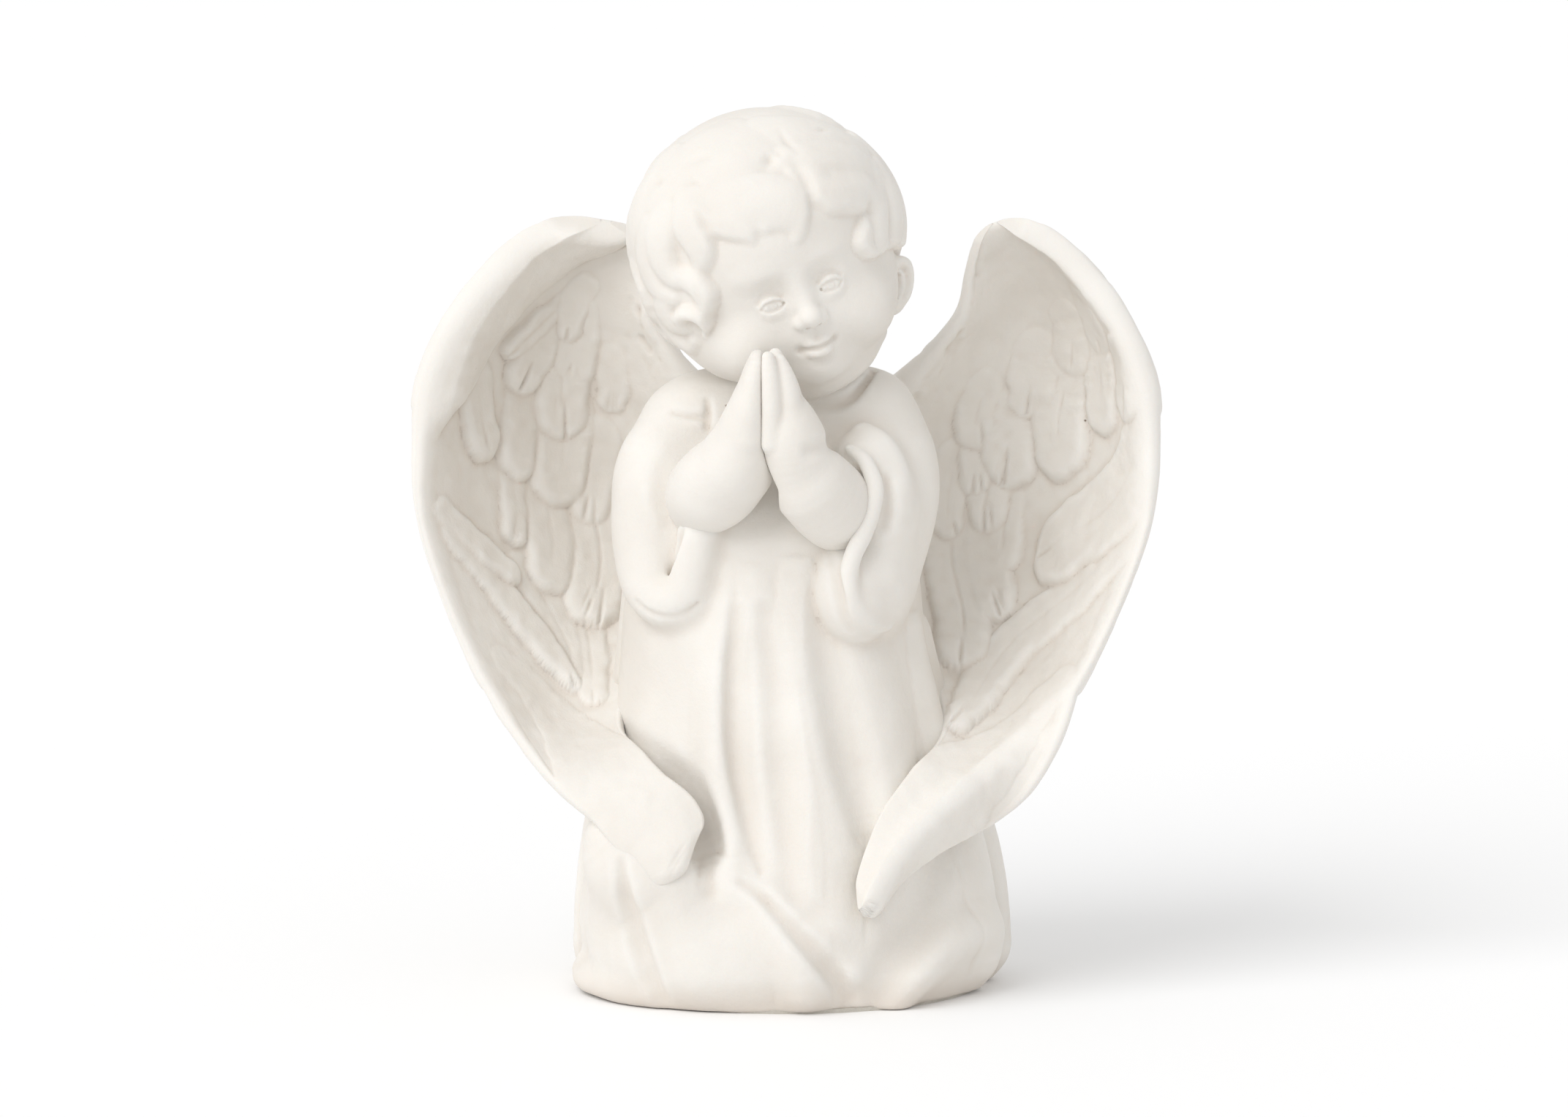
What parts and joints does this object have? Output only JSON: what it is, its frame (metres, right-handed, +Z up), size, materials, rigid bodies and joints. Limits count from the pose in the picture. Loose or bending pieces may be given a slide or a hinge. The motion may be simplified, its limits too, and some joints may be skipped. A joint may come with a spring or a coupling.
{
  "type": "angel figurine",
  "caption": "Standing cherub in a long robe with hands pressed in prayer and wings wrapped round to the front, cast in white resin.",
  "frame": {"origin": "centre of the bounding box's base, on the surface that the figurine stands on", "axes": "+Z up to the crown, -Y the way the figure faces, +X to the figure's own left"},
  "size_m": [0.1688, 0.089, 0.1991],
  "materials": {
    "resin": "matte",
    "steel": "satin",
    "felt": "matte"
  },
  "bodies": {
    "root": {"body_casting": "resin", "head_casting": "resin", "left_forearm": "resin", "right_forearm": "resin", "left_wing": "resin", "right_wing": "resin", "left_wing_upper_pin": "steel", "left_wing_lower_pin": "steel", "right_wing_upper_pin": "steel", "right_wing_lower_pin": "steel", "sole_plug": "resin", "felt_pad": "felt"}
  },
  "joints": []
}
